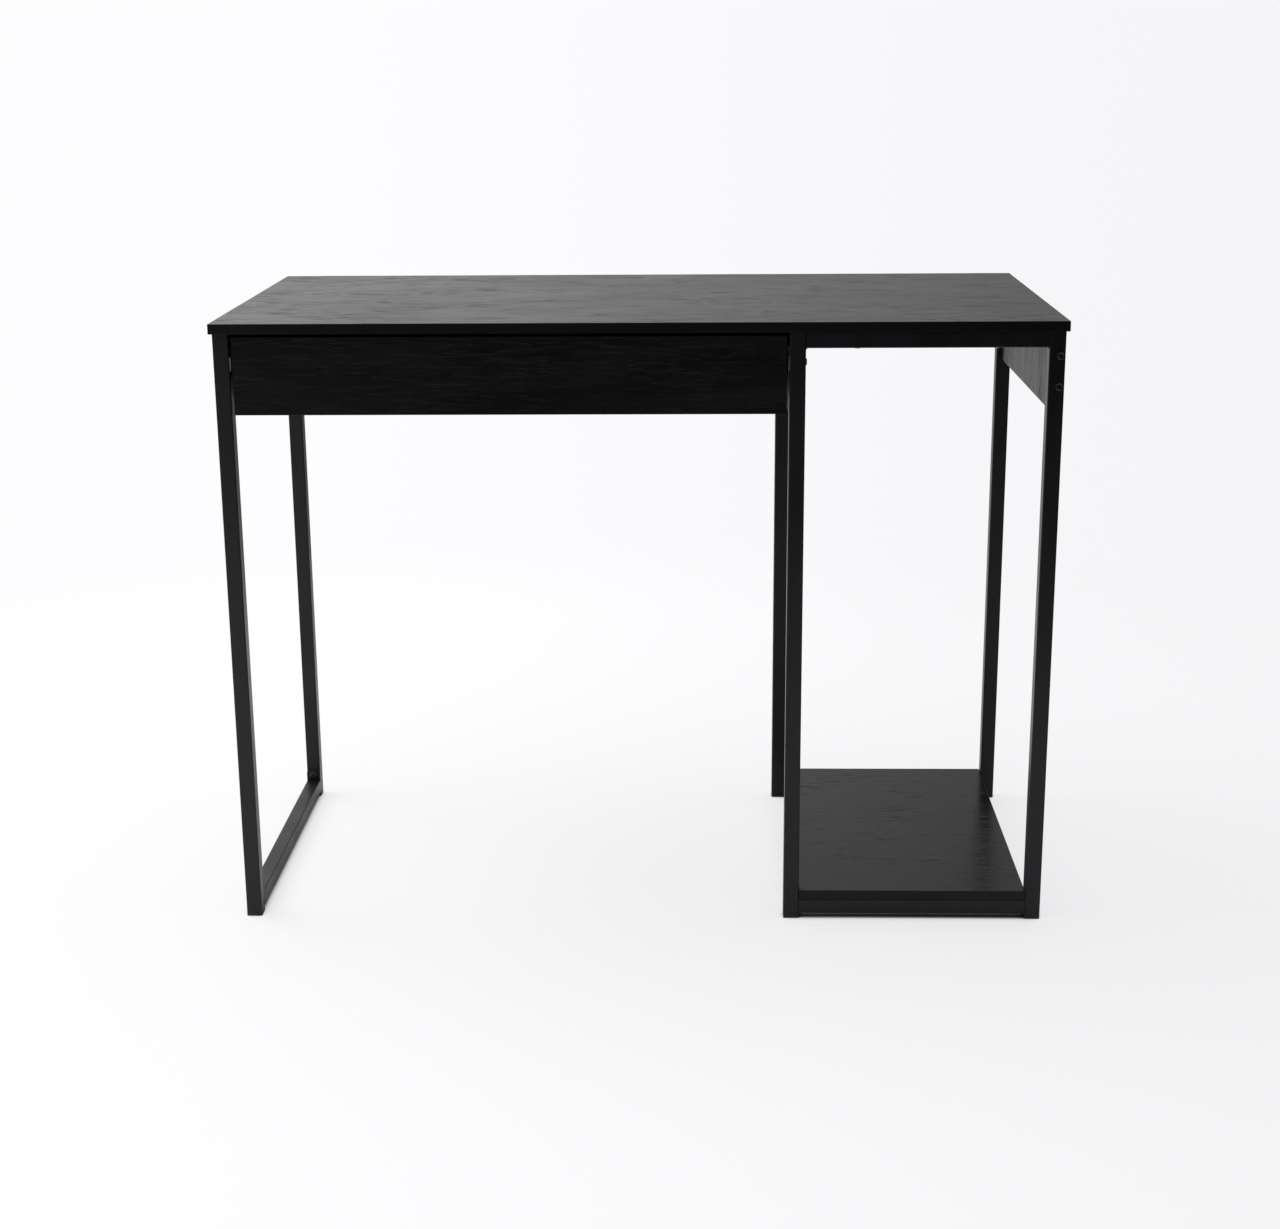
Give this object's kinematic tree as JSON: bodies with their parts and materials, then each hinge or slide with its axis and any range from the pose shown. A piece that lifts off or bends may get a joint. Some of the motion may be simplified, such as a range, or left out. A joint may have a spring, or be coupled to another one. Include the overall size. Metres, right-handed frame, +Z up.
{
  "type": "writing desk with drawer",
  "caption": "Steel-framed writing desk with a woodgrain top, a wide drawer over the knee space and an open bay with a low shelf for a computer case.",
  "frame": {"origin": "on the floor, under the middle of the top", "axes": "+X along the desk to the user's right, +Y from the user's side to the back, +Z up"},
  "size_m": [1, 0.5, 0.745],
  "materials": {
    "top_laminate": "satin embossed black woodgrain melamine",
    "panel_laminate": "satin embossed black woodgrain melamine",
    "shelf_laminate": "satin embossed black woodgrain melamine",
    "drawer_front_laminate": "satin embossed black woodgrain melamine",
    "edge_band": "satin black ABS edge band",
    "powder_coated_steel": "satin black powder coat",
    "black_plastic": "matte black polyethylene",
    "blackened_bolts": "black zinc",
    "zinc_plated_steel": "bright zinc plate",
    "die_cast_zinc": "as-cast zinc",
    "bearing_balls": "polished",
    "rubber": "matte",
    "beech": "bare, compressed",
    "drawer_box_foil": "black paper foil",
    "hardboard": "black painted hardboard"
  },
  "bodies": {
    "desk_frame": {"desk_top": "top_laminate", "desk_top_edge_bands": "edge_band", "left_front_leg": "powder_coated_steel", "left_rear_leg": "powder_coated_steel", "mid_front_leg": "powder_coated_steel", "mid_rear_leg": "powder_coated_steel", "right_front_leg": "powder_coated_steel", "right_rear_leg": "powder_coated_steel", "left_side_panel": "panel_laminate", "mid_side_panel": "panel_laminate", "right_side_panel": "panel_laminate", "leg_glides": "black_plastic", "leg_top_plugs": "black_plastic", "left_bottom_rail": "powder_coated_steel", "bay_front_top_rail": "powder_coated_steel", "bay_rear_top_rail": "powder_coated_steel", "bay_front_bottom_rail": "powder_coated_steel", "bay_rear_bottom_rail": "powder_coated_steel", "back_panel": "panel_laminate", "panel_edge_bands": "edge_band", "shelf_board": "shelf_laminate", "shelf_edge_bands": "edge_band", "side_panel_bolts": "blackened_bolts", "back_panel_bolts": "blackened_bolts", "panel_threaded_inserts": "zinc_plated_steel", "panel_locating_pins": "zinc_plated_steel", "rail_tab_bolts": "blackened_bolts", "leg_weld_nuts": "zinc_plated_steel", "runner_tab_bolts": "blackened_bolts", "top_brackets": "zinc_plated_steel", "top_bracket_screws": "zinc_plated_steel", "top_rail_screws": "zinc_plated_steel", "shelf_screws": "zinc_plated_steel", "left_runner_cabinet_member": "zinc_plated_steel", "right_runner_cabinet_member": "zinc_plated_steel", "cabinet_member_screws": "zinc_plated_steel", "runner_bumpers": "rubber"},
    "drawer": {"drawer_front": "drawer_front_laminate", "drawer_front_edge_bands": "edge_band", "drawer_left_side": "drawer_box_foil", "drawer_right_side": "drawer_box_foil", "drawer_back": "drawer_box_foil", "drawer_bottom": "hardboard", "drawer_cam_locks": "die_cast_zinc", "drawer_cam_bolts": "zinc_plated_steel", "drawer_dowels": "beech", "drawer_back_screws": "zinc_plated_steel", "drawer_bottom_screws": "zinc_plated_steel", "left_runner_drawer_member": "zinc_plated_steel", "right_runner_drawer_member": "zinc_plated_steel", "drawer_member_screws": "zinc_plated_steel"},
    "left_runner_cage": {"left_ball_cage": "zinc_plated_steel", "left_runner_balls": "bearing_balls"},
    "right_runner_cage": {"right_ball_cage": "zinc_plated_steel", "right_runner_balls": "bearing_balls"}
  },
  "joints": [
    {"name": "drawer_slide", "type": "slide", "parent": "desk_frame", "child": "drawer", "axis": [0, -1, 0], "range_m": [0, 0.3]},
    {"name": "left_cage_slide", "type": "slide", "parent": "desk_frame", "child": "left_runner_cage", "axis": [0, -1, 0], "range_m": [0, 0.15]},
    {"name": "right_cage_slide", "type": "slide", "parent": "desk_frame", "child": "right_runner_cage", "axis": [0, -1, 0], "range_m": [0, 0.15]}
  ],
  "couplings": [
    {"joint": "left_cage_slide", "follows": "drawer_slide", "ratio": 0.5},
    {"joint": "right_cage_slide", "follows": "drawer_slide", "ratio": 0.5}
  ]
}
